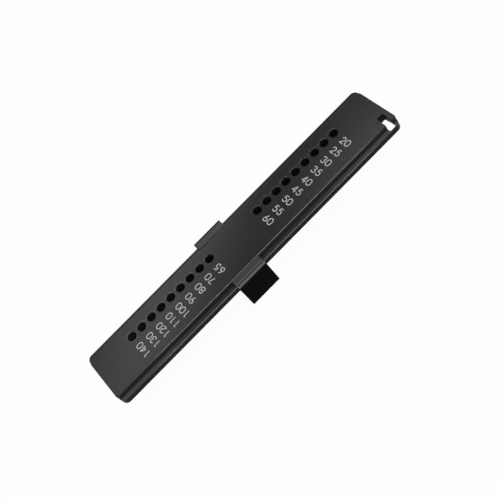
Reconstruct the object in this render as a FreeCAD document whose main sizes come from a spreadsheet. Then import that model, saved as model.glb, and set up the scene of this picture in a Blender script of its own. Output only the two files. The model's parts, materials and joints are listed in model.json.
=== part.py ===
import FreeCAD, Part

import math
import os

import Sketcher

# A pocket gauge for gutta-percha points, with a sliding cutter that hangs round the bar.
# Local frame: X along the bar towards the "20" end, Y away from the thumb tab with zero on the
# line of holes, Z out of the top face with zero on it. All sizes are in millimetres.

# Driving sizes
SIZES = {
    # bar outline
    "bar_length": 90.0,
    "bar_thick": 3.3,
    "top_near": 9.5,
    "top_far": 4.15,
    "near_ledge": 1.2,
    "near_depth": 1.6,
    "far_ledge": 1.65,
    "far_depth": 0.8,
    "corner_near": 0.45,
    "corner_far": 1.4,
    "foot_corner_far": 1.65,
    "edge_break": 0.15,
    # channel under the bar
    "channel_near": 7.6,
    "channel_far": 3.0,
    "channel_depth": 1.1,
    # row of holes
    "pitch": 3.175,
    "middle_gap": 15.875,
    "well_dia": 2.1,
    "well_mouth": 0.12,
    "gauge_web": 0.25,
    "funnel_height": 0.3,
    "hole_020": 0.20,
    "hole_025": 0.25,
    "hole_030": 0.30,
    "hole_035": 0.35,
    "hole_040": 0.40,
    "hole_045": 0.45,
    "hole_050": 0.50,
    "hole_055": 0.55,
    "hole_060": 0.60,
    "hole_065": 0.65,
    "hole_070": 0.70,
    "hole_080": 0.80,
    "hole_090": 0.90,
    "hole_100": 1.00,
    "hole_110": 1.10,
    "hole_120": 1.20,
    "hole_130": 1.30,
    "hole_140": 1.40,
    # hanging slot
    "slot_width": 1.85,
    "slot_length": 4.1,
    "slot_end_wall": 1.35,
    "slot_rim": 0.3,
    "slot_corner": 0.4,
    "slot_skin": 0.3,
    "slot_relief": 0.55,
    # slider
    "slider_length": 8.4,
    "slider_rest": 3.96,
    "side_gap": 0.1,
    "lip_gap": 0.1,
    "near_wall": 1.0,
    "far_wall": 0.74,
    "floor_thick": 0.8,
    "bend": 0.4,
    "lip_break": 0.2,
    # raised seat that carries the blade in the channel
    "seat_length": 7.2,
    "seat_side_gap": 0.3,
    "seat_top_gap": 0.1,
    "shoulder_width": 2.8,
    # blade and its rivets
    "blade_length": 7.8,
    "blade_thick": 0.4,
    "blade_gap": 0.05,
    "blade_side_gap": 0.1,
    "blade_bevel": 0.7,
    "blade_edge": 0.08,
    "rivet_dia": 0.9,
    "rivet_head": 1.5,
    "rivet_cone": 0.3,
    "rivet_gap": 0.02,
    "rivet_spacing": 5.2,
    # thumb tab
    "tab_thick": 1.05,
    "tab_drop": 7.8,
    "tab_break": 0.12,
    "peg_dia": 1.4,
    "peg_length": 0.8,
    "peg_spacing": 4.4,
    "peg_level": 2.6,
    "peg_gap": 0.02,
    # stop pins
    "stop_end": 2.0,
    "stop_dia": 1.2,
    "stop_reach": 1.0,
    "stop_hold": 1.3,
    "stop_line": 5.2,
    "stop_tip": 0.15,
    "stop_fit": 0.01,
}

# The two groups of calibrated holes, in hundredths of a millimetre
SIZES_20_TO_60 = ["020", "025", "030", "035", "040", "045", "050", "055", "060"]
SIZES_65_TO_140 = ["065", "070", "080", "090", "100", "110", "120", "130", "140"]

# How near two lengths are when they count as the same
SAME = 1e-4

doc = FreeCAD.newDocument("gauge")
sizes = doc.addObject("Spreadsheet::Sheet", "sizes")
for row, (alias, number) in enumerate(SIZES.items(), start=1):
    cell = "B%d" % row
    sizes.set("A%d" % row, alias)
    sizes.set(cell, str(number))
    sizes.setAlias(cell, alias)
doc.recompute()

# Places that follow from the driving sizes, as expressions of the sheet
HALF_BAR = "sizes.bar_length / 2"
FOOT_NEAR = "-(sizes.top_near + sizes.near_ledge)"
FOOT_FAR = "sizes.top_far + sizes.far_ledge"
UNDERSIDE = "-sizes.bar_thick"
CEILING = "-(sizes.bar_thick - sizes.channel_depth)"
HOLE_PLACE = "(sizes.middle_gap / 2 + %d * sizes.pitch)"
SLIDER_LOW = "-(sizes.slider_rest + sizes.slider_length / 2)"
SLIDER_HIGH = "-(sizes.slider_rest - sizes.slider_length / 2)"
WALL_NEAR_IN = FOOT_NEAR + " - sizes.side_gap"
WALL_NEAR_OUT = WALL_NEAR_IN + " - sizes.near_wall"
WALL_FAR_IN = FOOT_FAR + " + sizes.side_gap"
WALL_FAR_OUT = WALL_FAR_IN + " + sizes.far_wall"
FLOOR_TOP = "-(sizes.bar_thick + sizes.lip_gap)"
FLOOR_LOW = "-(sizes.bar_thick + sizes.lip_gap + sizes.floor_thick)"
BLADE_TOP = CEILING + " - sizes.blade_gap"
BLADE_LOW = BLADE_TOP + " - sizes.blade_thick"
SEAT_NEAR = "-(sizes.channel_near - sizes.seat_side_gap)"
SEAT_FAR = "sizes.channel_far - sizes.seat_side_gap"
SHOULDER_EDGE = SEAT_NEAR + " + sizes.shoulder_width"
BLADE_NEAR = SHOULDER_EDGE + " + sizes.blade_side_gap"
BLADE_MIDDLE = "(" + BLADE_NEAR + " + " + SEAT_FAR + ") / 2"
SEAT_LEFT = "-(sizes.slider_rest + sizes.seat_length / 2)"
SEAT_RIGHT = "-(sizes.slider_rest - sizes.seat_length / 2)"
RIVET_PLACES = [BLADE_MIDDLE + " - sizes.rivet_spacing / 2",
                BLADE_MIDDLE + " + sizes.rivet_spacing / 2"]
STOP_PLACE = HALF_BAR + " - sizes.stop_end"


def value(expression):
    return float(sizes.evalExpression(expression))


def add_body(label):
    body = doc.addObject("PartDesign::Body", label)
    body.Label = label
    return body


def origin_feature(body, role):
    return [item for item in body.Origin.OriginFeatures if item.Role == role][0]


def add_sketch(body, name, role, level=None):
    sketch = body.newObject("Sketcher::SketchObject", name)
    sketch.AttachmentSupport = (origin_feature(body, role), [""])
    sketch.MapMode = "FlatFace"
    if level is not None:
        sketch.setExpression("AttachmentOffset.Base.z", level)
    return sketch


def bind(sketch, kind, first, expression):
    index = sketch.addConstraint(Sketcher.Constraint(kind, *first, value(expression)))
    sketch.setExpression("Constraints[%d]" % index, expression)


def pin_point(sketch, geometry, point, across, up):
    for kind, expression, axis in (("DistanceX", across, -2), ("DistanceY", up, -1)):
        if abs(value(expression)) < SAME:
            sketch.addConstraint(Sketcher.Constraint("PointOnObject", geometry, point, axis))
        else:
            bind(sketch, kind, (-1, 1, geometry, point), expression)


def draw_polygon(sketch, corners):
    points = [FreeCAD.Vector(value(across), value(up), 0) for across, up in corners]
    first = sketch.GeometryCount
    count = len(points)
    for index in range(count):
        sketch.addGeometry(Part.LineSegment(points[index], points[(index + 1) % count]), False)
    for index in range(count):
        following = first + (index + 1) % count
        sketch.addConstraint(Sketcher.Constraint("Coincident", first + index, 2, following, 1))
    for index, (across, up) in enumerate(corners):
        pin_point(sketch, first + index, 1, across, up)


def draw_box(sketch, left, right, low, high):
    draw_polygon(sketch, [(left, low), (right, low), (right, high), (left, high)])


def draw_rounded(sketch, left, right, low, high, low_radius, high_radius):
    x0, x1, y0, y1 = value(left), value(right), value(low), value(high)
    r0, r1 = value(low_radius), value(high_radius)
    up = FreeCAD.Vector(0, 0, 1)
    lines = [((x0 + r0, y0), (x1 - r0, y0)), ((x1, y0 + r0), (x1, y1 - r1)),
             ((x1 - r1, y1), (x0 + r1, y1)), ((x0, y1 - r1), (x0, y0 + r0))]
    arcs = [((x1 - r0, y0 + r0), r0, -90), ((x1 - r1, y1 - r1), r1, 0),
            ((x0 + r1, y1 - r1), r1, 90), ((x0 + r0, y0 + r0), r0, 180)]
    for start, end in lines:
        sketch.addGeometry(Part.LineSegment(FreeCAD.Vector(*start), FreeCAD.Vector(*end)), False)
    for centre, radius, angle in arcs:
        circle = Part.Circle(FreeCAD.Vector(*centre), up, radius)
        arc = Part.ArcOfCircle(circle, math.radians(angle), math.radians(angle + 90))
        sketch.addGeometry(arc, False)
    for index in range(4):
        sketch.addConstraint(Sketcher.Constraint("Tangent", index, 2, 4 + index, 1))
        sketch.addConstraint(Sketcher.Constraint("Tangent", 4 + index, 2, (index + 1) % 4, 1))
    for index, kind in enumerate(["Horizontal", "Vertical", "Horizontal", "Vertical"]):
        sketch.addConstraint(Sketcher.Constraint(kind, index))
    for index, radius in zip((4, 5, 6, 7), (low_radius, high_radius, high_radius, low_radius)):
        bind(sketch, "Radius", (index,), radius)
    bind(sketch, "DistanceY", (-1, 1, 0, 1), low)
    bind(sketch, "DistanceX", (-1, 1, 1, 1), right)
    bind(sketch, "DistanceY", (-1, 1, 2, 1), high)
    bind(sketch, "DistanceX", (-1, 1, 3, 1), left)


def draw_circle(sketch, across, up, diameter):
    index = sketch.GeometryCount
    centre = FreeCAD.Vector(value(across), value(up), 0)
    circle = Part.Circle(centre, FreeCAD.Vector(0, 0, 1), value(diameter) / 2)
    sketch.addGeometry(circle, False)
    bind(sketch, "Diameter", (index,), diameter)
    pin_point(sketch, index, 3, across, up)


def add_feature(body, kind, name, profile, settings):
    feature = body.newObject("PartDesign::" + kind, name)
    feature.Profile = profile
    for key, setting in settings.items():
        setattr(feature, key, setting)
    return feature


def turn(body, kind, name, sketch, axis_edge):
    feature = add_feature(body, kind, name, sketch, {"Angle": 360})
    feature.ReferenceAxis = (sketch, [axis_edge])
    return feature


def pad_up(body, name, sketch, height):
    pad = add_feature(body, "Pad", name, sketch, {})
    pad.setExpression("Length", height)
    return pad


def pad_both(body, name, sketch, length):
    pad = add_feature(body, "Pad", name, sketch, {"SideType": "Symmetric"})
    pad.setExpression("Length", length)
    return pad


def cut_down(body, name, sketch, depth):
    pocket = add_feature(body, "Pocket", name, sketch, {})
    pocket.setExpression("Length", depth)
    return pocket


def cut_through(body, name, sketch):
    return add_feature(body, "Pocket", name, sketch, {"Type": "ThroughAll", "SideType": "Symmetric"})


def break_edges(body, kind, name, size, wanted):
    doc.recompute()
    base = body.Tip
    names = ["Edge%d" % (index + 1) for index, edge in enumerate(base.Shape.Edges) if wanted(edge)]
    feature = body.newObject("PartDesign::" + kind, name)
    feature.Base = (base, names)
    feature.setExpression("Radius" if kind == "Fillet" else "Size", size)
    doc.recompute()
    return feature


def at_level(edge, level):
    box = edge.BoundBox
    return abs(box.ZMin - level) < SAME and abs(box.ZMax - level) < SAME


def along_x(edge, across, level):
    box = edge.BoundBox
    straight = abs(box.YMin - across) < SAME and abs(box.YMax - across) < SAME
    return straight and at_level(edge, level)


def hole_places():
    places = []
    for step, size in enumerate(reversed(SIZES_20_TO_60)):
        places.append((HOLE_PLACE % step, "sizes.hole_" + size))
    for step, size in enumerate(SIZES_65_TO_140):
        places.append(("-" + HOLE_PLACE % step, "sizes.hole_" + size))
    return places


def draw_edge_cut(sketch, across, level, inward):
    # A small three-cornered cut along a ledge's outer edge, a little larger than what it takes off.
    outward = "-" if inward == "+" else "+"
    draw_polygon(sketch, [
        (across + outward + " sizes.edge_break", level + " + sizes.edge_break"),
        (across + outward + " sizes.edge_break", level + " - 2 * sizes.edge_break"),
        (across + inward + " 2 * sizes.edge_break", level + " + sizes.edge_break")])


def make_bar():
    body = add_body("gauge_bar")
    near_foot_corner = "sizes.corner_near + sizes.near_ledge"
    foot = add_sketch(body, "bar_foot", "XY_Plane", UNDERSIDE)
    draw_rounded(foot, "-" + HALF_BAR, HALF_BAR, FOOT_NEAR, FOOT_FAR, near_foot_corner,
                 "sizes.foot_corner_far")
    pad_up(body, "foot", foot, "sizes.bar_thick - sizes.near_depth")
    middle = add_sketch(body, "bar_middle", "XY_Plane", "-sizes.near_depth")
    draw_rounded(middle, "-" + HALF_BAR, HALF_BAR, "-sizes.top_near", FOOT_FAR,
                 "sizes.corner_near", "sizes.foot_corner_far")
    pad_up(body, "middle", middle, "sizes.near_depth - sizes.far_depth")
    top = add_sketch(body, "bar_top", "XY_Plane", "-sizes.far_depth")
    draw_rounded(top, "-" + HALF_BAR, HALF_BAR, "-sizes.top_near", "sizes.top_far",
                 "sizes.corner_near", "sizes.corner_far")
    pad_up(body, "top", top, "sizes.far_depth")

    def is_outline(edge):
        return at_level(edge, 0) or at_level(edge, value(UNDERSIDE))

    break_edges(body, "Chamfer", "outline_edges", "sizes.edge_break", is_outline)
    rails = add_sketch(body, "bar_rail_edges", "YZ_Plane")
    draw_edge_cut(rails, FOOT_NEAR, "-sizes.near_depth", "+")
    draw_edge_cut(rails, FOOT_FAR, "-sizes.far_depth", "-")
    cut_through(body, "rail_edges", rails)

    channel = add_sketch(body, "bar_channel", "YZ_Plane")
    draw_box(channel, "-sizes.channel_near", "sizes.channel_far",
             UNDERSIDE + " - sizes.channel_depth", CEILING)
    cut_through(body, "channel", channel)

    slot = add_sketch(body, "bar_slot", "XY_Plane")
    slot_near = FOOT_NEAR + " + sizes.slot_rim"
    slot_right = HALF_BAR + " - sizes.slot_end_wall"
    draw_rounded(slot, slot_right + " - sizes.slot_width", slot_right, slot_near,
                 slot_near + " + sizes.slot_length", "sizes.slot_corner", "sizes.slot_corner")
    cut_through(body, "hang_slot", slot)
    # Under the ledge, a relief that opens into the channel leaves only a thin skin round the slot.
    relief = add_sketch(body, "bar_slot_relief", "XY_Plane", UNDERSIDE)
    draw_box(relief, slot_right + " - sizes.slot_width - sizes.slot_relief",
             slot_right + " + sizes.slot_relief", slot_near, "-sizes.channel_near")
    thinned = cut_down(body, "slot_relief", relief,
                       "sizes.bar_thick - sizes.near_depth - sizes.slot_skin")
    thinned.Reversed = True

    wells = add_sketch(body, "bar_wells", "XY_Plane")
    for across, _ in hole_places():
        draw_circle(wells, across, "0", "sizes.well_dia")
    cut_down(body, "wells", wells, "-(" + CEILING + ") - sizes.gauge_web - sizes.funnel_height")
    well_radius = value("sizes.well_dia") / 2

    def is_mouth(edge):
        round_edge = isinstance(edge.Curve, Part.Circle) and at_level(edge, 0)
        return round_edge and abs(edge.Curve.Radius - well_radius) < SAME

    break_edges(body, "Chamfer", "well_mouths", "sizes.well_mouth", is_mouth)

    holes = add_sketch(body, "bar_holes", "XY_Plane")
    for across, size in hole_places():
        draw_circle(holes, across, "0", size)
    cut_through(body, "gauge_holes", holes)
    for index, (across, size) in enumerate(hole_places()):
        funnel = add_sketch(body, "bar_funnel_%d" % index, "XZ_Plane")
        funnel_low = CEILING + " + sizes.gauge_web"
        funnel_high = funnel_low + " + sizes.funnel_height"
        draw_polygon(funnel, [(across, funnel_low), (across + " + " + size + " / 2", funnel_low),
                              (across + " + sizes.well_dia / 2", funnel_high), (across, funnel_high)])
        turn(body, "Groove", "funnel_%d" % index, funnel, "Edge4")

    stops = add_sketch(body, "bar_stop_holes", "XY_Plane", CEILING)
    for side in ("-", "+"):
        draw_circle(stops, side + "(" + STOP_PLACE + ")", "-sizes.stop_line",
                    "sizes.stop_dia + 2 * sizes.stop_fit")
    blind = cut_down(body, "stop_holes", stops, "sizes.stop_hold")
    blind.Reversed = True
    return body


def draw_pegs(sketch, diameter):
    for side in ("-", "+"):
        draw_circle(sketch, "-sizes.slider_rest " + side + " sizes.peg_spacing / 2",
                    "-sizes.peg_level", diameter)


def draw_rivet(sketch, place, gap):
    shank = place + " + sizes.rivet_dia / 2 + " + gap
    head = place + " + sizes.rivet_head / 2 + " + gap
    draw_polygon(sketch, [
        (place, FLOOR_LOW), (head, FLOOR_LOW), (shank, FLOOR_LOW + " + sizes.rivet_cone"),
        (shank, BLADE_TOP + " - sizes.rivet_cone"), (head, BLADE_TOP), (place, BLADE_TOP)])


def cut_rivet_hole(body, place):
    name = body.Label + "_rivet_hole_" + str(RIVET_PLACES.index(place))
    sketch = add_sketch(body, name + "_section", "YZ_Plane", "-sizes.slider_rest")
    draw_rivet(sketch, place, "sizes.rivet_gap")
    turn(body, "Groove", name, sketch, "Edge6")


def make_slider():
    body = add_body("slider")
    near_lip_low = "-sizes.near_depth + sizes.lip_gap"
    far_lip_low = "-sizes.far_depth + sizes.lip_gap"
    section = add_sketch(body, "slider_section", "YZ_Plane", "-sizes.slider_rest")
    draw_polygon(section, [
        (WALL_NEAR_OUT, "0"), (WALL_NEAR_OUT, FLOOR_LOW), (WALL_FAR_OUT, FLOOR_LOW),
        (WALL_FAR_OUT, "0"), ("sizes.top_far + sizes.side_gap", "0"),
        ("sizes.top_far + sizes.side_gap", far_lip_low), (WALL_FAR_IN, far_lip_low),
        (WALL_FAR_IN, FLOOR_TOP), (WALL_NEAR_IN, FLOOR_TOP), (WALL_NEAR_IN, near_lip_low),
        ("-(sizes.top_near + sizes.side_gap)", near_lip_low),
        ("-(sizes.top_near + sizes.side_gap)", "0")])
    pad_both(body, "clip", section, "sizes.slider_length")

    def is_bend(edge):
        outer_walls = (value(WALL_NEAR_OUT), value(WALL_FAR_OUT))
        return any(along_x(edge, wall, value(FLOOR_LOW)) for wall in outer_walls)

    def is_lip_rim(edge):
        outer_walls = (value(WALL_NEAR_OUT), value(WALL_FAR_OUT))
        return any(along_x(edge, wall, 0) for wall in outer_walls)

    break_edges(body, "Fillet", "bends", "sizes.bend", is_bend)
    break_edges(body, "Fillet", "lip_rims", "sizes.lip_break", is_lip_rim)

    seat = add_sketch(body, "slider_seat", "XY_Plane", FLOOR_TOP)
    draw_box(seat, SEAT_LEFT, SEAT_RIGHT, SEAT_NEAR, SEAT_FAR)
    pad_up(body, "seat", seat, BLADE_LOW + " - (" + FLOOR_TOP + ")")
    shoulder = add_sketch(body, "slider_shoulder", "XY_Plane", BLADE_LOW)
    draw_box(shoulder, SEAT_LEFT, SEAT_RIGHT, SEAT_NEAR, SHOULDER_EDGE)
    pad_up(body, "shoulder", shoulder, "sizes.blade_thick + sizes.blade_gap - sizes.seat_top_gap")

    pegs = add_sketch(body, "slider_peg_holes", "XZ_Plane", "-(" + WALL_NEAR_OUT + ")")
    draw_pegs(pegs, "sizes.peg_dia + 2 * sizes.peg_gap")
    cut_down(body, "peg_holes", pegs, "sizes.peg_length + sizes.peg_gap")
    for place in RIVET_PLACES:
        cut_rivet_hole(body, place)
    return body


def make_tab():
    body = add_body("thumb_tab")
    plate = add_sketch(body, "tab_plate", "XZ_Plane", "-(" + WALL_NEAR_OUT + ")")
    draw_box(plate, SLIDER_LOW, SLIDER_HIGH, "-sizes.tab_drop", "0")
    pad_up(body, "plate", plate, "sizes.tab_thick")

    def is_front(edge):
        front = value(WALL_NEAR_OUT) - value("sizes.tab_thick")
        return abs(edge.BoundBox.YMax - front) < SAME

    break_edges(body, "Chamfer", "front_edges", "sizes.tab_break", is_front)
    pegs = add_sketch(body, "tab_pegs", "XZ_Plane", "-(" + WALL_NEAR_OUT + ")")
    draw_pegs(pegs, "sizes.peg_dia")
    pad = pad_up(body, "pegs", pegs, "sizes.peg_length")
    pad.Reversed = True
    return body


def make_blade():
    body = add_body("blade")
    side = add_sketch(body, "blade_section", "XZ_Plane", "-" + BLADE_MIDDLE)
    low_end = "-(sizes.slider_rest + sizes.blade_length / 2)"
    high_end = "-(sizes.slider_rest - sizes.blade_length / 2)"
    edge_low = BLADE_TOP + " - sizes.blade_edge"
    draw_polygon(side, [
        (low_end + " + sizes.blade_bevel", BLADE_LOW), (high_end + " - sizes.blade_bevel", BLADE_LOW),
        (high_end, edge_low), (high_end, BLADE_TOP), (low_end, BLADE_TOP), (low_end, edge_low)])
    pad_both(body, "strip", side, SEAT_FAR + " - (" + BLADE_NEAR + ")")
    for place in RIVET_PLACES:
        cut_rivet_hole(body, place)
    return body


def make_rivet(label, place):
    body = add_body(label)
    sketch = add_sketch(body, label + "_section", "YZ_Plane", "-sizes.slider_rest")
    draw_rivet(sketch, place, "0")
    turn(body, "Revolution", label + "_turned", sketch, "Edge6")
    return body


def make_stop_pin(label, side):
    body = add_body(label)
    sketch = add_sketch(body, label + "_section", "XZ_Plane", "sizes.stop_line")
    axis = side + "(" + STOP_PLACE + ")"
    rim = axis + " + sizes.stop_dia / 2"
    tip = CEILING + " - sizes.stop_reach"
    draw_polygon(sketch, [
        (axis, tip), (rim + " - sizes.stop_tip", tip), (rim, tip + " + sizes.stop_tip"),
        (rim, CEILING + " + sizes.stop_hold"), (axis, CEILING + " + sizes.stop_hold")])
    turn(body, "Revolution", label + "_turned", sketch, "Edge5")
    return body


def lie_down(bodies):
    # At rest the tab's inner lower edge and the slider's far bend touch the table.
    bend = value("sizes.bend")
    across = value(WALL_FAR_OUT) - bend - value(WALL_NEAR_OUT)
    drop = value("sizes.tab_drop") + value(FLOOR_LOW) + bend
    tilt = math.atan2(drop, across) - math.asin(bend / math.hypot(drop, across))
    turned = FreeCAD.Rotation(FreeCAD.Vector(1, 0, 0), -math.degrees(tilt))
    box = FreeCAD.BoundBox()
    for body in bodies:
        shape = body.Shape.copy()
        shape.Placement = FreeCAD.Placement(FreeCAD.Vector(), turned)
        box.add(shape.optimalBoundingBox(False))
    origin = FreeCAD.Vector(box.Center.x, box.Center.y, box.ZMin)
    for body in bodies:
        body.Placement = FreeCAD.Placement(-origin, turned)
    doc.recompute()
    print("tilt %.4f degrees, origin %.4f %.4f %.4f" % (math.degrees(tilt), *origin))


def check(bodies):
    for item in doc.Objects:
        if "Invalid" in item.State or "Error" in item.State:
            raise RuntimeError("%s failed: %s" % (item.Name, item.State))
    for body in bodies:
        if body.Shape.isNull() or not body.Shape.isValid() or len(body.Shape.Solids) != 1:
            raise RuntimeError("%s has no sound solid" % body.Label)


def main():
    bodies = [make_bar(), make_slider(), make_tab(), make_blade()]
    for label, place in zip(("blade_rivet_near", "blade_rivet_far"), RIVET_PLACES):
        bodies.append(make_rivet(label, place))
    bodies.append(make_stop_pin("stop_pin_low", "-"))
    bodies.append(make_stop_pin("stop_pin_high", "+"))
    doc.recompute()
    lie_down(bodies)
    check(bodies)
    os.makedirs("parts", exist_ok=True)
    for body in bodies:
        body.Shape.exportStep("parts/%s.step" % body.Label)
        print(body.Label, round(body.Shape.Volume, 3))


main()
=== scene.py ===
import json
import math

import bmesh
import bpy
from bpy.props import FloatProperty, FloatVectorProperty, PointerProperty
from bpy.types import Operator, Panel, PropertyGroup
from mathutils import Matrix, Vector


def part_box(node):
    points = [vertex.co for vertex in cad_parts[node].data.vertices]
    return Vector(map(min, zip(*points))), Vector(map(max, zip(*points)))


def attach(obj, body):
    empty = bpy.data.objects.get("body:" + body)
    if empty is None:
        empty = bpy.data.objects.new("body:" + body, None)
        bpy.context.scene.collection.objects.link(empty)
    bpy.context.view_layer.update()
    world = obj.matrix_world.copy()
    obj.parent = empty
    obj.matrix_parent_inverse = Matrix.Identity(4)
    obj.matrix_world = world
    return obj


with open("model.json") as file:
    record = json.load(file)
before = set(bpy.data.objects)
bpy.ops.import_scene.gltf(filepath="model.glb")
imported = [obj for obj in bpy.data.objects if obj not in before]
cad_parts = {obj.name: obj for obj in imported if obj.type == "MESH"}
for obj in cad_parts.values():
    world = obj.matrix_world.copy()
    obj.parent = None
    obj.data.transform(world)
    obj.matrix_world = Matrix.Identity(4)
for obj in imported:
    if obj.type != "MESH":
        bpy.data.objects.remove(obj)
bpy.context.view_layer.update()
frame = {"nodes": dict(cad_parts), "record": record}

bl_info = {
    "name": "Gutta-percha gauge",
    "version": (1, 0, 0),
    "blender": (4, 5, 0),
    "location": "View3D > Sidebar > Gauge",
    "description": "Finishes, numbers and studio for a pocket gauge with a sliding cutter",
    "category": "Object",
}

# The bar lies a little tilted, so the numbers and the finishes use its own top face.
TOP_FACE = next(m for m in frame["record"]["mounts"] if m["name"] == "top_face")
BAR_UP = Vector(TOP_FACE["axis"]).normalized()
BAR_ALONG = Vector((1, 0, 0))
BAR_AWAY = BAR_UP.cross(BAR_ALONG)

# The two groups of holes, each from the bar's middle outwards
HOLES_TO_60 = ("60", "55", "50", "45", "40", "35", "30", "25", "20")
HOLES_FROM_65 = ("65", "70", "80", "90", "100", "110", "120", "130", "140")


class GAUGE_NumberSettings(PropertyGroup):
    half_width: FloatProperty(
        name="Half width", description="Half the width of a digit's middle line",
        default=0.00060, min=0.0001, unit="LENGTH")
    half_height: FloatProperty(
        name="Half height", description="Half the height of a digit's middle line",
        default=0.00083, min=0.0001, unit="LENGTH")
    stroke: FloatProperty(
        name="Stroke", description="Width of the marking line",
        default=0.00022, min=0.00002, unit="LENGTH")
    advance: FloatProperty(
        name="Advance", description="From the middle of one digit to the next",
        default=0.00160, min=0.0001, unit="LENGTH")
    hole_gap: FloatProperty(
        name="Gap to the hole", description="From the line of holes to the nearest digit's middle",
        default=0.00359, min=0.0001, unit="LENGTH")
    raised: FloatProperty(
        name="Raised", description="Thickness of the marking above the top face",
        default=0.000012, min=0.000001, unit="LENGTH")
    pitch: FloatProperty(
        name="Pitch", description="From one hole to the next",
        default=0.003175, min=0.001, unit="LENGTH")
    middle_gap: FloatProperty(
        name="Middle gap", description="Between the two groups' first holes",
        default=0.015875, min=0.001, unit="LENGTH")
    hole_line: FloatProperty(
        name="Line of holes", description="From the top face's named point to the line of holes",
        default=0.005, unit="LENGTH")


class GAUGE_FinishSettings(PropertyGroup):
    bar_black: FloatVectorProperty(
        name="Bar", description="Colour of the satin black bar",
        default=(0.0090, 0.0090, 0.0093), subtype="COLOR", min=0, max=1)
    bar_shine: FloatProperty(
        name="Bar shine", description="How strongly the bar reflects",
        default=0.069, min=0, max=1)
    bar_rough: FloatVectorProperty(
        name="Bar roughness", description="The bar's roughness where its grain is lowest and highest",
        default=(0.17, 0.23), size=2, min=0, max=1)
    slider_black: FloatVectorProperty(
        name="Slider", description="Colour of the slider",
        default=(0.0470, 0.0470, 0.0474), subtype="COLOR", min=0, max=1)
    slider_shine: FloatProperty(
        name="Slider shine", description="How strongly the slider reflects",
        default=0.050, min=0, max=1)
    slider_rough: FloatVectorProperty(
        name="Slider roughness", description="The slider's roughness where its grain is lowest and highest",
        default=(0.22, 0.30), size=2, min=0, max=1)
    # Painted light: the near ledge and a share of the step's upright inner face are painted this lighter
    # colour, standing in for the lamps' sheen that the step blocks.
    ledge_painted_light: FloatVectorProperty(
        name="Rail", description="Colour of the near ledge, where the slider's lip rubs",
        default=(0.052, 0.052, 0.0525), subtype="COLOR", min=0, max=1)
    # Painted light: the near ledge is painted still lighter towards both ends, following the lamps' sheen
    # on the top face.
    ledge_end_painted_light: FloatVectorProperty(
        name="Rail ends", description="Colour of the near ledge towards the bar's two ends",
        default=(0.101, 0.101, 0.1015), subtype="COLOR", min=0, max=1)
    # Painted shade inside the wells and the slot, on the outer side, the far ledge strip, round the far
    # half of each well's mouth and on the edges that face away from the near side; also the colour of the
    # dark joint beside the tab.
    shade_and_joint_black: FloatVectorProperty(
        name="Deep black", description="Colour inside the wells and the slot, and of the dark rims",
        default=(0.0042, 0.0042, 0.0042), subtype="COLOR", min=0, max=1)
    tab_black: FloatVectorProperty(
        name="Tab", description="Colour of the smooth thumb tab",
        default=(0.0020, 0.0020, 0.0021), subtype="COLOR", min=0, max=1)
    tab_shine: FloatProperty(
        name="Tab shine", description="How strongly the tab reflects",
        default=0.013, min=0, max=1)
    # Painted highlight on the tab's top edge and along the near lip's edge.
    tab_highlight: FloatVectorProperty(
        name="Tab edge", description="Colour of the tab's upper edge and of the line beside it",
        default=(0.130, 0.130, 0.131), subtype="COLOR", min=0, max=1)
    # Wear on the tab's slanted edges; on the bar and slider also a painted highlight on the near-facing
    # slanted edges, and a painted highlight line along the bar's far top edge.
    edge_wear_and_highlight: FloatVectorProperty(
        name="Worn edge", description="Colour where the black has thinned on an edge",
        default=(0.058, 0.058, 0.0585), subtype="COLOR", min=0, max=1)
    # Painted glints, scattered on the wells' far rims.
    rim_glint: FloatVectorProperty(
        name="Specks", description="Colour of the small bright specks on the wells' far rims",
        default=(0.105, 0.105, 0.106), subtype="COLOR", min=0, max=1)
    steel: FloatVectorProperty(
        name="Steel", description="Colour of the blade, rivets and pins",
        default=(0.58, 0.58, 0.57), subtype="COLOR", min=0, max=1)
    marking: FloatVectorProperty(
        name="Numbers", description="Colour of the numbers",
        default=(0.54, 0.54, 0.535), subtype="COLOR", min=0, max=1)
    grain: FloatProperty(
        name="Grain", description="Size of the blasted grain under the black",
        default=0.00012, min=0.00001, unit="LENGTH")
    grain_depth: FloatProperty(
        name="Grain depth", description="Depth of the blasted grain",
        default=0.0000009, min=0, unit="LENGTH")


class GAUGE_StudioSettings(PropertyGroup):
    camera_place: FloatVectorProperty(
        name="Camera", description="Where the camera stands",
        default=(-0.01199225, -0.10812854, 0.19880512), subtype="TRANSLATION", unit="LENGTH")
    camera_turn: FloatVectorProperty(
        name="Camera turn", description="How the camera is turned",
        default=(math.radians(22.08425), math.radians(18.91575), math.radians(-41.98747)),
        subtype="EULER")
    lens: FloatProperty(
        name="Lens", description="Focal length on a 36 mm sensor",
        default=69.143, min=1, unit="CAMERA")
    shift: FloatVectorProperty(
        name="Shift", description="Framing shift in shares of the picture's width",
        default=(0.03604, 0.03528), size=2)
    floor_white: FloatVectorProperty(
        name="Floor", description="Colour of the floor",
        default=(0.90, 0.90, 0.90), subtype="COLOR", min=0, max=1)
    shadow: FloatProperty(
        name="Shadow", description="How much of its shadow the white floor keeps",
        default=0.05, min=0, max=1)
    sky: FloatProperty(
        name="Sky", description="Strength of the even light from all round",
        default=0.45, min=0)


def top_point(along, away, up=0.0):
    """A point given on the bar's top face, from the middle of the line of holes."""
    numbers = bpy.context.scene.gauge_numbers
    start = Vector(TOP_FACE["pos_m"]) + numbers.hole_line * BAR_AWAY
    return start + along * BAR_ALONG + away * BAR_AWAY + up * BAR_UP


# Nodes

def new_material(name, colour):
    material = bpy.data.materials.new(name)
    material.use_nodes = True
    material.diffuse_color = (*colour, 1)
    tree = material.node_tree
    tree.nodes.clear()
    return material, tree


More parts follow.
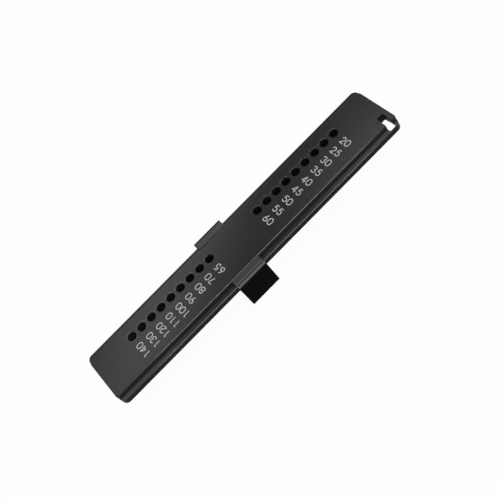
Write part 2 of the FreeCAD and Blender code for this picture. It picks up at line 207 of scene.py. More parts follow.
def add_node(tree, kind, settings=None, **inputs):
    """Adds a node. Inputs i0, i1 and so on go by number, and the others by name.

    Each is a value or another node's output socket.
    """
    node = tree.nodes.new(kind)
    for key, setting in (settings or {}).items():
        setattr(node, key, setting)
    for key, given in inputs.items():
        by_number = key[0] == "i" and key[1:].isdigit()
        socket = node.inputs[int(key[1:]) if by_number else key.replace("_", " ")]
        if isinstance(given, bpy.types.NodeSocket):
            tree.links.new(given, socket)
        else:
            socket.default_value = given
    return node


def maths(tree, operation, first, second=0.0):
    return add_node(tree, "ShaderNodeMath", {"operation": operation}, i0=first, i1=second).outputs[0]


def product(tree, first, *others):
    for other in others:
        first = maths(tree, "MULTIPLY", first, other)
    return first


def span(tree, given, low, high, to_low=0.0, to_high=1.0):
    """Carries a value from one span to another, smoothly and within its ends."""
    node = add_node(tree, "ShaderNodeMapRange", {"interpolation_type": "SMOOTHSTEP"},
                    i0=given, i1=low, i2=high, i3=to_low, i4=to_high)
    return node.outputs[0]


def between(tree, given, low, high, soft):
    """One between low and high, fading to none over the soft width."""
    rising = span(tree, given, low - soft, low)
    return product(tree, rising, span(tree, given, high, high + soft, 1.0, 0.0))


def tinted(colour, share):
    """A colour made darker or lighter, ready for a node."""
    return (*(share * part for part in colour), 1)


def blend_colours(tree, share, first, second):
    node = add_node(tree, "ShaderNodeMix", {"data_type": "RGBA"}, i0=share, i6=first, i7=second)
    return node.outputs[2]


def paint_over(tree, paint, share, colour):
    """Covers a share of the paint with one of the settings' colours."""
    return blend_colours(tree, share, paint, (*colour, 1))


def noise(tree, place, size, detail=2.0, roughness=0.5):
    """An even random pattern whose blotches are about as wide as size."""
    node = add_node(tree, "ShaderNodeTexNoise", None, Vector=place, Scale=1 / size, Detail=detail,
                    Roughness=roughness)
    return node.outputs[0]


def object_place(tree):
    return add_node(tree, "ShaderNodeTexCoord").outputs["Object"]


def scaled_place(tree, place, scale):
    return add_node(tree, "ShaderNodeMapping", None, Vector=place, Scale=scale).outputs[0]


def dot_product(tree, first, second):
    node = add_node(tree, "ShaderNodeVectorMath", {"operation": "DOT_PRODUCT"}, i0=first, i1=second)
    return node.outputs["Value"]


def facing(tree, direction):
    """How far a face looks along a direction: one is straight along it, and none is square to it."""
    geometry = add_node(tree, "ShaderNodeNewGeometry")
    return dot_product(tree, geometry.outputs["True Normal"], direction)


def from_start(tree, place, direction, start):
    """How far a point of the gauge lies from start along a direction."""
    return maths(tree, "SUBTRACT", dot_product(tree, place, direction), start.dot(direction))


def bump(tree, height, depth):
    return add_node(tree, "ShaderNodeBump", None, Distance=depth, Height=height).outputs[0]


def finish_material(tree, colour, roughness, normal, shine, metallic=0.0):
    """Ends a material in its shader. Shine stays a plain number on the shader's own socket."""
    shader = add_node(tree, "ShaderNodeBsdfPrincipled", None, Base_Color=colour, Roughness=roughness,
                      Normal=normal, Metallic=metallic)
    shader.inputs["Specular IOR Level"].default_value = shine
    add_node(tree, "ShaderNodeOutputMaterial", None, Surface=shader.outputs[0])


# Finishes

# The values of a noise between which a pattern comes in. Most of them lie in NOISE_MIDDLE.
NOISE_MIDDLE = (0.3, 0.7)
FLECK_NOISE = (0.35, 0.75)
PATCH_NOISE = (0.35, 0.62)
GLINT_NOISE = (0.47, 0.55)
SCRATCH_NOISE = (0.4, 0.7)
SHOW_THROUGH_NOISE = (0.62, 0.78)

# Sizes of the patterns, and the depth of the finest ones, in metres
CLOUDS = 0.012
STREAKS = 0.00015
GLINT_SIZE = 0.00028
WORN_PATCHES = 0.0006
TAB_CLOUDS = 0.004
TAB_GRAIN = 0.00009
SCRATCHES = 0.00004
STEEL_TONE = 0.0015
MARKING_TONE = 0.0005
PAPER_TONE = 0.05
FINE_DEPTH = 0.0000015

# A pattern is drawn out where its scale is below one: streaks along the bar, scratches across it.
STREAK_SCALE = (0.02, 1.0, 1.0)
SCRATCH_SCALE = (1.0, 0.04, 0.3)

# How far a face looks up or away to count as one of a kind, from the start to the end of a change
FACES_UP = (0.90, 0.97)
FACES_NEAR = (-0.97, -0.90)
NEAR_SLANTS = (-0.55, -0.25)
SLANTS_BEGIN = (0.45, 0.62)
SLANTS_END = (0.78, 0.92)
TAB_FACES_UP = (0.80, 0.95)

# Where the finish changes, in metres. Along counts from the bar's middle, away from the line of
# holes towards the far edge, and level upwards from the top face. Rings count from a well's
# middle, and LOW_END_RIM from the slider's end beside the high numbers. Two numbers are the start
# and the end of a change. Three are the two sides of a band and the width over which it fades.
LEDGE_LEVEL = (-0.00175, -0.00155, 0.00004)
LEDGE_AWAY = (-0.00950, -0.00945)
RAIL_ALONG = (0.010, 0.040)
OUTER_AWAY = (-0.0100, -0.0097)
FAR_LINE_AWAY = (0.00384, 0.00420, 0.00003)
FAR_LINE_LEVEL = (-0.0003, -0.0002)
FAR_STRIP_AWAY = (0.00485, 0.00505)
FAR_STRIP_LEVEL = (-0.0006, -0.0004)
TOP_LEVEL = (-0.0002, -0.0001)
ROW_FADE = 0.0001
GLINT_RING = (0.00142, 0.00160, 0.00004)
GLINT_AWAY = (0.0004, 0.0009)
RIM_RING = (0.00124, 0.00130)
RIM_AWAY = (0.0, 0.0006)
SUNK_LEVEL = (-0.0023, -0.00002, 0.00001)
WELLS_AWAY = (-0.00122, 0.00122, 0.00003)
SLOT_AWAY = (-0.0103, -0.00625, 0.00005)
SLOT_ALONG = (0.04175, 0.0437, 0.00005)
WEAR_AND_HIGHLIGHT_ALONG = (-0.030, 0.033, 0.006)
LIP_LEVEL = (-0.0004, -0.0003)
LIP_LINE_AWAY = (-0.01154, -0.01136, 0.00003)
JOINT_AWAY = (-0.01168, -0.01163)
TAB_TOP_AWAY = (-0.01201, -0.01195)
FAR_HALF_AWAY = (0.0, 0.001)
FAR_LIP_RIM_AWAY = (0.00596, 0.00608)
LOW_END_RIM = (0.00020, 0.00032)

# How much of a mark's colour covers what lies under it
WALL_COVER = 0.25
OUTER_COVER = 0.75
FAR_LINE_COVER = 0.3
FAR_STRIP_COVER = 0.85
WELL_RIM_COVER = 0.8
JOINT_COVER = 0.36
FAR_LIP_COVER = 0.75
OTHER_SLANTS_COVER = 0.85
TAB_RIM_COVER = 0.25
FLECK_COVER = 0.35
SCRATCH_COVER = 0.3
SHOW_THROUGH_COVER = 0.3
LEAST_LEDGE_LIGHT = 0.86
LEAST_WEAR_AND_HIGHLIGHT = 0.75

# The darker and the lighter share of its colour between which each finish varies
BLACK_TINTS = (0.82, 1.16)
TAB_TINTS = (0.7, 1.3)
STEEL_TINTS = (0.86, 1.08)
MARKING_TINTS = (0.86, 1.06)
PAPER_TINT = 0.985
GROOVE_TINT = 0.6

# The smoothest and the roughest of the other finishes, roughness that marks add or take, and
# how dull the weaker marks are
TAB_ROUGH = (0.20, 0.28)
STEEL_ROUGH = (0.24, 0.36)
MARKING_ROUGH = (0.55, 0.7)
DULL_ROUGHNESS = 0.35
WORN_SMOOTHNESS = 0.08
TAB_TOP_ROUGHNESS = 0.22
FAR_STRIP_DULL = 0.25
OTHER_SLANTS_DULL = 0.7

# How strongly steel and the numbers reflect
STEEL_SHINE = 0.5
MARKING_SHINE = 0.3


def slanted_share(tree):
    """One on the narrow slanted faces that break the edges, and none on the wide faces."""
    slant = maths(tree, "ABSOLUTE", facing(tree, BAR_UP))
    return product(tree, span(tree, slant, *SLANTS_BEGIN), span(tree, slant, *SLANTS_END, 1.0, 0.0))


def bar_places(tree, place):
    """How far a point lies along the bar, away from the line of holes, and its level."""
    start = top_point(0, 0)
    return [from_start(tree, place, direction, start) for direction in (BAR_ALONG, BAR_AWAY, BAR_UP)]


def from_well(tree, along, away):
    """How far a point of the top face lies from the nearest well's middle, and where the rows are."""
    numbers = bpy.context.scene.gauge_numbers
    cell = maths(tree, "FRACT", maths(tree, "DIVIDE", along, numbers.pitch))
    across = product(tree, maths(tree, "SUBTRACT", cell, 0.5), numbers.pitch)
    squares = maths(tree, "ADD", product(tree, across, across), product(tree, away, away))
    row_start = (numbers.middle_gap - numbers.pitch) / 2
    row_end = row_start + len(HOLES_TO_60) * numbers.pitch
    in_rows = between(tree, maths(tree, "ABSOLUTE", along), row_start, row_end, ROW_FADE)
    return maths(tree, "SQRT", squares), in_rows


def bar_marks(tree, place, ground):
    """The bar's marks: painted light on its near ledge and the step's upright inner face, painted shade on
    its outer side, far ledge strip, wells, well rims and slot, a painted highlight on its far top edge, and
    painted glints on the wells' far rims.

    Gives the paint, how dull each point is, and where the edges may take wear and a painted highlight.
    """
    finish = bpy.context.scene.gauge_finish
    along, away, level = bar_places(tree, place)
    faces_up = span(tree, facing(tree, BAR_UP), *FACES_UP)
    faces_near = span(tree, facing(tree, BAR_AWAY), *FACES_NEAR, 1.0, 0.0)

    # Painted light: the ledge is painted lighter, more so towards both ends, with faint streaks along it.
    on_ledge = product(tree, between(tree, level, *LEDGE_LEVEL),
                       span(tree, away, *LEDGE_AWAY, 1.0, 0.0), faces_up)
    streaks = noise(tree, scaled_place(tree, place, STREAK_SCALE), STREAKS)
    ledge_light_share = product(tree, on_ledge, span(tree, streaks, *NOISE_MIDDLE, LEAST_LEDGE_LIGHT, 1.0))
    ledge_light_colour = blend_colours(tree, span(tree, maths(tree, "ABSOLUTE", along), *RAIL_ALONG),
                         (*finish.ledge_painted_light, 1), (*finish.ledge_end_painted_light, 1))
    paint = blend_colours(tree, ledge_light_share, ground, ledge_light_colour)

    # Painted light on the step's upright inner face, and painted shade on the bar's outer side.
    inner_wall_light = product(tree, faces_near, span(tree, away, *OUTER_AWAY, 0.0, WALL_COVER))
    paint = paint_over(tree, paint, inner_wall_light, finish.ledge_painted_light)
    outer_side_shade = product(tree, faces_near, span(tree, away, *OUTER_AWAY, OUTER_COVER, 0.0))
    paint = paint_over(tree, paint, outer_side_shade, finish.shade_and_joint_black)

    # A painted highlight along the top face's far edge, and painted shade on the far ledge strip.
    far_edge_highlight = product(tree, between(tree, away, *FAR_LINE_AWAY),
                       span(tree, level, *FAR_LINE_LEVEL, 0.0, FAR_LINE_COVER))
    paint = paint_over(tree, paint, far_edge_highlight, finish.edge_wear_and_highlight)
    far_strip_shade = product(tree, span(tree, away, *FAR_STRIP_AWAY, 0.0, FAR_STRIP_COVER),
                        span(tree, level, *FAR_STRIP_LEVEL, 1.0, 0.0))
    paint = paint_over(tree, paint, far_strip_shade, finish.shade_and_joint_black)

    distance, in_rows = from_well(tree, along, away)
    on_top = product(tree, in_rows, faces_up, span(tree, level, *TOP_LEVEL))
    # Painted glints scattered in a ring on the far side of each well.
    scattered = span(tree, noise(tree, place, GLINT_SIZE, detail=1.0), *GLINT_NOISE)
    rim_glints = product(tree, between(tree, distance, *GLINT_RING), span(tree, away, *GLINT_AWAY),
                     scattered, on_top)
    paint = paint_over(tree, paint, rim_glints, finish.rim_glint)
    # Painted shade on the top face just round the far half of each well's mouth.
    well_rim_shade = product(tree, span(tree, distance, *RIM_RING, WELL_RIM_COVER, 0.0),
                        span(tree, away, *RIM_AWAY), on_top)

    # Painted shade inside the wells and the slot.
    in_wells = product(tree, in_rows, between(tree, away, *WELLS_AWAY))
    in_slot = product(tree, between(tree, away, *SLOT_AWAY), between(tree, along, *SLOT_ALONG))
    sunk = product(tree, between(tree, level, *SUNK_LEVEL), maths(tree, "MAXIMUM", in_wells, in_slot))
    recess_shade = maths(tree, "MAXIMUM", sunk, well_rim_shade)
    paint = paint_over(tree, paint, recess_shade, finish.shade_and_joint_black)

    dull = maths(tree, "MAXIMUM", recess_shade, product(tree, far_strip_shade, FAR_STRIP_DULL))
    wear_and_highlight_allowed = product(tree, between(tree, along, *WEAR_AND_HIGHLIGHT_ALONG), maths(tree, "SUBTRACT", 1.0, recess_shade))
    return paint, dull, wear_and_highlight_allowed


def slider_marks(tree, place, ground):
    """A painted highlight line along the near lip, the dark joint beside the tab, and painted shade on the
    far lip's rims. Gives the paint, how dull each point is, and where the edges may take wear and a painted
    highlight.
    """
    finish = bpy.context.scene.gauge_finish
    along, away, level = bar_places(tree, place)
    # Painted highlight line along the near lip's edge.
    on_lip = span(tree, level, *LIP_LEVEL)
    line = product(tree, on_lip, between(tree, away, *LIP_LINE_AWAY))
    paint = paint_over(tree, ground, line, finish.tab_highlight)

    joint = product(tree, on_lip, span(tree, away, *JOINT_AWAY, JOINT_COVER, 0.0))
    low_corner = Vector(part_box("slider")[0])
    from_low_end = from_start(tree, place, BAR_ALONG, low_corner)
    # Painted shade on the far lip's rim and on the rim of the end beside the high numbers.
    rims = maths(tree, "MAXIMUM", span(tree, away, *FAR_LIP_RIM_AWAY),
                 span(tree, from_low_end, *LOW_END_RIM, 1.0, 0.0))
    far_rim_shade = product(tree, rims, span(tree, away, *FAR_HALF_AWAY, 0.0, FAR_LIP_COVER))
    dark = maths(tree, "MAXIMUM", joint, far_rim_shade)
    paint = paint_over(tree, paint, dark, finish.shade_and_joint_black)
    return paint, dark, maths(tree, "SUBTRACT", 1.0, joint)


def satin_black(name, colour, shine, rough, marks):
    """Blasted and black anodised metal with the piece's own marks.

    It has fine grain and faint clouds. Its near-facing slanted edges take wear and a painted highlight, and
    its other slanted edges are painted dark as shade.
    """
    finish = bpy.context.scene.gauge_finish
    material, tree = new_material(name, colour)
    place = object_place(tree)
    grain = noise(tree, place, finish.grain, detail=3.0, roughness=0.6)
    clouds = noise(tree, place, CLOUDS, detail=3.0, roughness=0.55)
    dark, light = [tinted(colour, share) for share in BLACK_TINTS]
    ground = blend_colours(tree, span(tree, clouds, *NOISE_MIDDLE), dark, light)
    flecks = span(tree, grain, *FLECK_NOISE, 0.0, FLECK_COVER)
    flecked = blend_colours(tree, flecks, ground, light)
    paint, dull, wear_and_highlight_allowed = marks(tree, place, flecked)

    # Slanted edges facing away from the near side get painted shade; near-facing ones get wear patches and
    # a painted highlight.
    slants = slanted_share(tree)
    near_side = span(tree, facing(tree, BAR_AWAY), *NEAR_SLANTS, 1.0, 0.0)
    other_side = maths(tree, "SUBTRACT", 1.0, near_side)
    other_slants_shade = product(tree, slants, other_side, OTHER_SLANTS_COVER)
    paint = paint_over(tree, paint, other_slants_shade, finish.shade_and_joint_black)
    patches = noise(tree, place, WORN_PATCHES, detail=3.0, roughness=0.6)
    patches = span(tree, patches, *PATCH_NOISE, LEAST_WEAR_AND_HIGHLIGHT, 1.0)
    worn_and_highlit = product(tree, slants, patches, near_side, wear_and_highlight_allowed)
    paint = paint_over(tree, paint, worn_and_highlit, finish.edge_wear_and_highlight)

    roughness = span(tree, grain, *NOISE_MIDDLE, *rough)
    roughness = maths(tree, "SUBTRACT", roughness, product(tree, worn_and_highlit, WORN_SMOOTHNESS))
    dull = maths(tree, "MAXIMUM", dull, product(tree, other_slants_shade, OTHER_SLANTS_DULL))
    roughness = maths(tree, "ADD", roughness, product(tree, dull, DULL_ROUGHNESS))
    finish_material(tree, paint, roughness, bump(tree, grain, finish.grain_depth), shine)
    return material


def smooth_black(name, colour, shine):
    """The tab: a smooth black face with a painted highlight on its top edge."""
    finish = bpy.context.scene.gauge_finish
    material, tree = new_material(name, colour)
    place = object_place(tree)
    clouds = noise(tree, place, TAB_CLOUDS, detail=4.0, roughness=0.6)
    dark, light = [tinted(colour, share) for share in TAB_TINTS]
    ground = blend_colours(tree, clouds, dark, light)
    rims = product(tree, slanted_share(tree), TAB_RIM_COVER)
    paint = paint_over(tree, ground, rims, finish.edge_wear_and_highlight)
    # Painted highlight on the tab's top edge.
    away = from_start(tree, place, BAR_AWAY, top_point(0, 0))
    top = product(tree, span(tree, facing(tree, BAR_UP), *TAB_FACES_UP),
                  span(tree, away, *TAB_TOP_AWAY, 1.0, 0.0))
    paint = paint_over(tree, paint, top, finish.tab_highlight)

    fine = noise(tree, place, TAB_GRAIN)
    roughness = maths(tree, "ADD", span(tree, fine, *NOISE_MIDDLE, *TAB_ROUGH),
                      product(tree, top, TAB_TOP_ROUGHNESS))
    finish_material(tree, paint, roughness, bump(tree, fine, FINE_DEPTH), shine)
    return material


def ground_steel(name):
    """Ground steel: fine scratches across the gauge and a soft change of tone."""
    colour = tuple(bpy.context.scene.gauge_finish.steel)
    material, tree = new_material(name, colour)
    place = object_place(tree)
    drawn_out = scaled_place(tree, place, SCRATCH_SCALE)
    scratches = noise(tree, drawn_out, SCRATCHES, detail=3.0, roughness=0.6)
    dark, light = [tinted(colour, share) for share in STEEL_TINTS]
    ground = blend_colours(tree, noise(tree, place, STEEL_TONE), dark, light)
    scratched = span(tree, scratches, *SCRATCH_NOISE, 0.0, SCRATCH_COVER)
    paint = blend_colours(tree, scratched, ground, tinted(colour, GROOVE_TINT))
    roughness = span(tree, scratches, *NOISE_MIDDLE, *STEEL_ROUGH)
    relief = bump(tree, scratches, FINE_DEPTH)
    finish_material(tree, paint, roughness, relief, STEEL_SHINE, metallic=1.0)
    return material


def pale_marking(name):
    """The numbers: a thin pale marking, a little uneven, that the grain shows through."""
    finish = bpy.context.scene.gauge_finish
    colour = tuple(finish.marking)
    material, tree = new_material(name, colour)
    place = object_place(tree)
    grain = noise(tree, place, finish.grain, detail=3.0, roughness=0.6)
    tone = span(tree, noise(tree, place, MARKING_TONE), *NOISE_MIDDLE)
    dark, light = [tinted(colour, share) for share in MARKING_TINTS]
    ground = blend_colours(tree, tone, dark, light)
    showing = span(tree, grain, *SHOW_THROUGH_NOISE, 0.0, SHOW_THROUGH_COVER)
    paint = blend_colours(tree, showing, ground, tinted(colour, GROOVE_TINT))
    roughness = span(tree, grain, *NOISE_MIDDLE, *MARKING_ROUGH)
    finish_material(tree, paint, roughness, bump(tree, grain, finish.grain_depth), MARKING_SHINE)
    return material


def give_finish(node_names, material):
    """Puts a material on the solids with these names."""
    for name in node_names:
        for slot in frame["nodes"][name].material_slots:
            slot.material = material


# Digits, drawn in shares of a digit's half width and half height

DEGREES_A_STEP = 12


def arc(across, up, wide, high, start, end):
    """Points along part of an oval round a middle, with its start and end in degrees."""
    steps = max(2, math.ceil(abs(end - start) / DEGREES_A_STEP))
    turns = [math.radians(start + (end - start) * step / steps) for step in range(steps + 1)]
    return [(across + wide * math.cos(turn), up + high * math.sin(turn)) for turn in turns]


def half_turned(strokes):
    """The same lines turned upside down, which makes a nine of a six."""
    return [[(-across, -up) for across, up in stroke] for stroke in strokes]


def digit_strokes():
    """The lines that each digit is drawn with, as lists of points."""
    oval = arc(0, 0.30, 1.0, 0.70, 0, 180) + arc(0, -0.30, 1.0, 0.70, 180, 360)
    six = [arc(0, -0.47, 0.88, 0.53, 0, 360), [(-0.84, -0.30), (-0.62, 0.06), (0.34, 1.0)]]
    return {
        "0": [oval + oval[:1]],
        "1": [[(0.08, -1), (0.08, 1)], [(-0.50, 0.84), (0.08, 1)]],
        "2": [arc(-0.04, 0.38, 0.84, 0.62, 165, -32) + [(-0.90, -1)], [(-0.90, -1), (0.92, -1)]],
        "3": [arc(-0.06, 0.50, 0.76, 0.50, 158, -90), arc(-0.06, -0.50, 0.92, 0.50, 90, -158)],
        "4": [[(0.46, -1), (0.46, 1)], [(0.46, 1), (-0.92, -0.52)], [(-0.92, -0.52), (0.86, -0.52)]],
        "5": [[(0.72, 1), (-0.48, 1)], [(-0.48, 1), (-0.66, 0.10)],
              arc(-0.02, -0.34, 0.88, 0.66, 137, -152)],
        "6": six,
        "7": [[(-0.88, 1), (0.80, 1)], [(0.80, 1), (-0.42, -1)]],
        "8": [arc(0, 0.50, 0.74, 0.50, 0, 360), arc(0, -0.50, 0.92, 0.50, 0, 360)],
        "9": half_turned(six),
    }


# A sharp corner's outline runs out to this many half widths of the line at most.
LONGEST_CORNER = 2.0


def stroke_outline(points, half_stroke):
    """The points left and right of a line, and whether the line is closed."""
    points = [Vector(point) for point in points]
    closed = (points[0] - points[-1]).length < 1e-9
    if closed:
        points = points[:-1]
    count = len(points)
    lefts, rights = [], []
    for index, point in enumerate(points):
        before = points[index - 1] if closed or index else point
        after = points[(index + 1) % count] if closed or index < count - 1 else point
        way_in = (point - before).normalized() if point != before else (after - point).normalized()
        way_out = (after - point).normalized() if after != point else way_in
        middle = (way_in + way_out).normalized()
        side = Vector((-middle.y, middle.x)) * half_stroke / max(1 / LONGEST_CORNER, middle.dot(way_in))
        lefts.append(point + side)
        rights.append(point - side)
    return lefts, rights, closed


def round_end(centre, start, steps=5):
    """The points of a half circle round centre, after start and before its opposite."""
    spoke = start - centre
    turns = [-math.pi * step / (steps + 1) for step in range(1, steps + 1)]
    return [centre + Vector((spoke.x * math.cos(turn) - spoke.y * math.sin(turn),
                             spoke.x * math.sin(turn) + spoke.y * math.cos(turn))) for turn in turns]


def add_stroke(mesh, points, half_stroke, carry, raised):
    """Adds one raised line to the mesh. Carry takes a flat point and a height to the gauge."""
    lefts, rights, closed = stroke_outline(points, half_stroke)
    sides = (lefts, rights)
    tops = [[mesh.verts.new(carry(point, raised)) for point in side] for side in sides]
    feet = [[mesh.verts.new(carry(point, -raised)) for point in side] for side in sides]
    count = len(lefts)
    for index in range(count if closed else count - 1):
        following = (index + 1) % count
        mesh.faces.new((tops[0][index], tops[1][index], tops[1][following], tops[0][following]))
        mesh.faces.new((tops[0][following], feet[0][following], feet[0][index], tops[0][index]))
        mesh.faces.new((tops[1][index], feet[1][index], feet[1][following], tops[1][following]))
    if closed:
        return
    for end, first, last in ((0, 1, 0), (count - 1, 0, 1)):
        centre = (lefts[end] + rights[end]) / 2
        rounded = round_end(centre, sides[first][end])
        rim = [tops[first][end]] + [mesh.verts.new(carry(point, raised)) for point in rounded]
        rim.append(tops[last][end])
        foot = [feet[first][end]] + [mesh.verts.new(carry(point, -raised)) for point in rounded]
        foot.append(feet[last][end])
        mesh.faces.new(rim[::-1])
        for index in range(len(rim) - 1):
            mesh.faces.new((rim[index], rim[index + 1], foot[index + 1], foot[index]))


def make_number(text, along, reads_away, material):
    """One number beside its hole. Reads_away says which way its digits run."""
    numbers = bpy.context.scene.gauge_numbers
    strokes = digit_strokes()
    way = 1 if reads_away else -1
    mesh = bmesh.new()
    for index, digit in enumerate(text):
        from_hole = len(text) - 1 - index if reads_away else index
        away = -(numbers.hole_gap + from_hole * numbers.advance)

        def carry(point, height):
            return top_point(along - way * point.y, away + way * point.x, height)

        for stroke in strokes[digit]:
            sized = [(across * numbers.half_width, up * numbers.half_height) for across, up in stroke]
            add_stroke(mesh, sized, numbers.stroke / 2, carry, numbers.raised)
    bmesh.ops.recalc_face_normals(mesh, faces=mesh.faces)
    data = bpy.data.meshes.new("number_" + text)
    mesh.to_mesh(data)
    mesh.free()
    data.materials.append(material)
    piece = bpy.data.objects.new("number_" + text, data)
    bpy.context.scene.collection.objects.link(piece)
    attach(piece, "gauge_bar")


# Studio

# Each lamp's name, its two ends and its width in metres, and its power in watts
LAMPS = (
    ("lamp_far_left", (0.0569, 0.4456, 0.2716), (-0.1325, 0.3664, 0.3265), 0.0447, 0.394),
    ("lamp_far_right", (0.1840, 0.3547, 0.3209), (0.0675, 0.3418, 0.3488), 0.0598, 0.272),
    ("lamp_front", (-0.125, -0.31, 0.39), (0.175, -0.31, 0.39), 0.06, 1.02),
)

FLOOR_RADIUS = 3.0
# The floor lies this much below the gauge's lowest points, so that no face shares its plane.
FLOOR_DROP = 0.00001
PURE_WHITE = (1, 1, 1, 1)


def add_strip_lamp(name, start, end, width, power):
    """A straight strip of light from start to end, turned towards the gauge."""
    start, end = Vector(start), Vector(end)
    middle = (start + end) / 2
    data = bpy.data.lights.new(name, "AREA")
    data.shape = "RECTANGLE"
    data.size, data.size_y = (end - start).length, width
    data.energy = power
    back = middle.normalized()
    across = back.cross(end - start).normalized()
    turn = Matrix((across.cross(back), across, back)).transposed()
    lamp = bpy.data.objects.new(name, data)
    lamp.matrix_world = Matrix.Translation(middle) @ turn.to_4x4()
    bpy.context.scene.collection.objects.link(lamp)


def seen_share(tree):
    """One for what the camera sees, straight or through gloss or glass, and none for lighting."""
    path = add_node(tree, "ShaderNodeLightPath")
    seen = maths(tree, "MAXIMUM", path.outputs["Is Camera Ray"], path.outputs["Is Glossy Ray"])
    return maths(tree, "MAXIMUM", seen, path.outputs["Is Transmission Ray"])


def floor_material():
    """White paper that looks plain white, and keeps a share of the gauge's shadow."""
    studio = bpy.context.scene.gauge_studio
    material, tree = new_material("white_floor", studio.floor_white)
    drift = noise(tree, object_place(tree), PAPER_TONE)
    paper = blend_colours(tree, drift, tinted(studio.floor_white, PAPER_TINT), (*studio.floor_white, 1))
    lit = add_node(tree, "ShaderNodeBsdfDiffuse", None, Color=paper)
    plain = add_node(tree, "ShaderNodeEmission", None, Color=PURE_WHITE, Strength=1.0)
    share = product(tree, seen_share(tree), 1 - studio.shadow)
    mixed = add_node(tree, "ShaderNodeMixShader", None, i0=share, i1=lit.outputs[0], i2=plain.outputs[0])
    add_node(tree, "ShaderNodeOutputMaterial", None, Surface=mixed.outputs[0])
    return material


def make_floor():
    """A round sheet of white paper."""
    mesh = bmesh.new()
    bmesh.ops.create_circle(mesh, cap_ends=True, segments=96, radius=FLOOR_RADIUS)
    data = bpy.data.meshes.new("floor")
    mesh.to_mesh(data)
    mesh.free()
    data.materials.append(floor_material())
    floor = bpy.data.objects.new("floor", data)
    floor.location.z = -FLOOR_DROP
    bpy.context.scene.collection.objects.link(floor)


def make_sky():
    """Even light from all round, in front of which the background looks white."""
    studio = bpy.context.scene.gauge_studio
    world = bpy.data.worlds.new("studio")
    bpy.context.scene.world = world
    world.use_nodes = True
    tree = world.node_tree
    tree.nodes.clear()
    even = add_node(tree, "ShaderNodeBackground", None, Color=PURE_WHITE, Strength=studio.sky)
    white = add_node(tree, "ShaderNodeBackground", None, Color=PURE_WHITE, Strength=1.0)
    mixed = add_node(tree, "ShaderNodeMixShader", None, i0=seen_share(tree), i1=even.outputs[0],
                     i2=white.outputs[0])
    add_node(tree, "ShaderNodeOutputWorld", None, Surface=mixed.outputs[0])


def make_camera():
    studio = bpy.context.scene.gauge_studio
    data = bpy.data.cameras.new("camera")
    data.sensor_width = 36
    data.lens = studio.lens
    data.shift_x, data.shift_y = studio.shift
    data.clip_start, data.clip_end = 0.01, 10
    camera = bpy.data.objects.new("camera", data)
    camera.location = studio.camera_place
    camera.rotation_euler = studio.camera_turn
    bpy.context.scene.collection.objects.link(camera)
    bpy.context.scene.camera = camera


class GAUGE_OT_finish_bar(Operator):
    """Give the bar its satin black, painted light on its near ledge, wear and a painted highlight on its
    near edges, and painted shade in its wells, slot and dark rims
    """
    bl_idname = "gauge.finish_bar"
    bl_label = "Finish the bar"

    def execute(self, context):
        finish = context.scene.gauge_finish
        material = satin_black("satin_black_bar", tuple(finish.bar_black), finish.bar_shine,
                               finish.bar_rough, bar_marks)
        give_finish(("gauge_bar",), material)
        return {"FINISHED"}


class GAUGE_OT_finish_slider(Operator):
    """Give the slider its satin black, a little lighter than the bar's, with a painted highlight on its
    near lip and painted shade on its far rims
    """
    bl_idname = "gauge.finish_slider"
    bl_label = "Finish the slider"

    def execute(self, context):
        finish = context.scene.gauge_finish
        material = satin_black("satin_black_slider", tuple(finish.slider_black), finish.slider_shine,
                               finish.slider_rough, slider_marks)
        give_finish(("slider",), material)
        return {"FINISHED"}


class GAUGE_OT_finish_tab(Operator):
    """Give the thumb tab its smooth black face and a painted highlight on its top edge"""
    bl_idname = "gauge.finish_tab"
    bl_label = "Finish the thumb tab"

    def execute(self, context):
        finish = context.scene.gauge_finish
        material = smooth_black("smooth_black_tab", tuple(finish.tab_black), finish.tab_shine)
        give_finish(("thumb_tab",), material)
        return {"FINISHED"}


class GAUGE_OT_finish_steel(Operator):
    """Give the blade, its rivets and the stop pins ground steel"""
    bl_idname = "gauge.finish_steel"
    bl_label = "Finish the steel"

    def execute(self, context):
        steel_nodes = ("blade", "blade_rivet_near", "blade_rivet_far", "stop_pin_low", "stop_pin_high")
        give_finish(steel_nodes, ground_steel("ground_steel"))
        return {"FINISHED"}


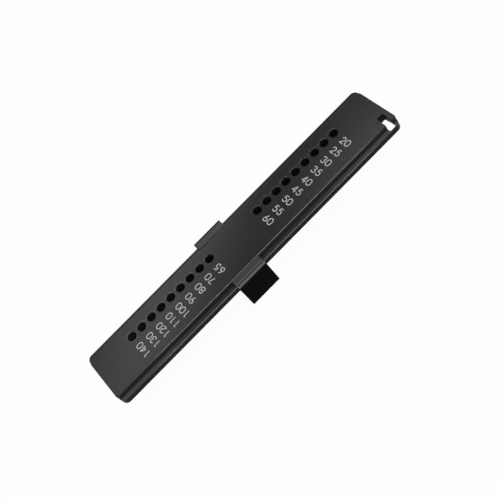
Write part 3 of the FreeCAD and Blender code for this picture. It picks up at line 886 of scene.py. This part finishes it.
class GAUGE_OT_numbers(Operator):
    """Mark the number of each hole on the top face"""
    bl_idname = "gauge.numbers"
    bl_label = "Mark the numbers"

    def execute(self, context):
        numbers = context.scene.gauge_numbers
        marking = pale_marking("pale_marking")
        for side, texts, reads_away in ((1, HOLES_TO_60, False), (-1, HOLES_FROM_65, True)):
            for step, text in enumerate(texts):
                along = side * (numbers.middle_gap / 2 + step * numbers.pitch)
                make_number(text, along, reads_away, marking)
        return {"FINISHED"}


class GAUGE_OT_stage(Operator):
    """Set up the white floor, the even light, the lamps and the camera"""
    bl_idname = "gauge.stage"
    bl_label = "Set up the studio"

    def execute(self, context):
        make_floor()
        make_sky()
        for lamp in LAMPS:
            add_strip_lamp(*lamp)
        make_camera()
        context.scene.view_settings.view_transform = "Standard"
        return {"FINISHED"}


class GAUGE_PT_panel(Panel):
    """The gauge's pieces in the order in which they are made, and their settings"""
    bl_idname = "GAUGE_PT_panel"
    bl_label = "Gauge"
    bl_space_type = "VIEW_3D"
    bl_region_type = "UI"
    bl_category = "Gauge"

    def draw(self, context):
        for operator in OPERATORS:
            self.layout.operator(operator.bl_idname)
        for group in ("gauge_numbers", "gauge_finish", "gauge_studio"):
            settings = getattr(context.scene, group)
            box = self.layout.box()
            for name in settings.__annotations__:
                box.prop(settings, name)


SETTINGS = (GAUGE_NumberSettings, GAUGE_FinishSettings, GAUGE_StudioSettings)
OPERATORS = (GAUGE_OT_finish_bar, GAUGE_OT_finish_slider, GAUGE_OT_finish_tab,
             GAUGE_OT_finish_steel, GAUGE_OT_numbers, GAUGE_OT_stage)


def register():
    for kind in SETTINGS + OPERATORS + (GAUGE_PT_panel,):
        bpy.utils.register_class(kind)
    bpy.types.Scene.gauge_numbers = PointerProperty(type=GAUGE_NumberSettings)
    bpy.types.Scene.gauge_finish = PointerProperty(type=GAUGE_FinishSettings)
    bpy.types.Scene.gauge_studio = PointerProperty(type=GAUGE_StudioSettings)


def unregister():
    del bpy.types.Scene.gauge_numbers
    del bpy.types.Scene.gauge_finish
    del bpy.types.Scene.gauge_studio
    for kind in reversed(SETTINGS + OPERATORS + (GAUGE_PT_panel,)):
        bpy.utils.unregister_class(kind)


def main():
    register()
    bpy.ops.gauge.finish_bar()
    bpy.ops.gauge.finish_slider()
    bpy.ops.gauge.finish_tab()
    bpy.ops.gauge.finish_steel()
    bpy.ops.gauge.numbers()
    bpy.ops.gauge.stage()


if __name__ == "__main__":
    main()
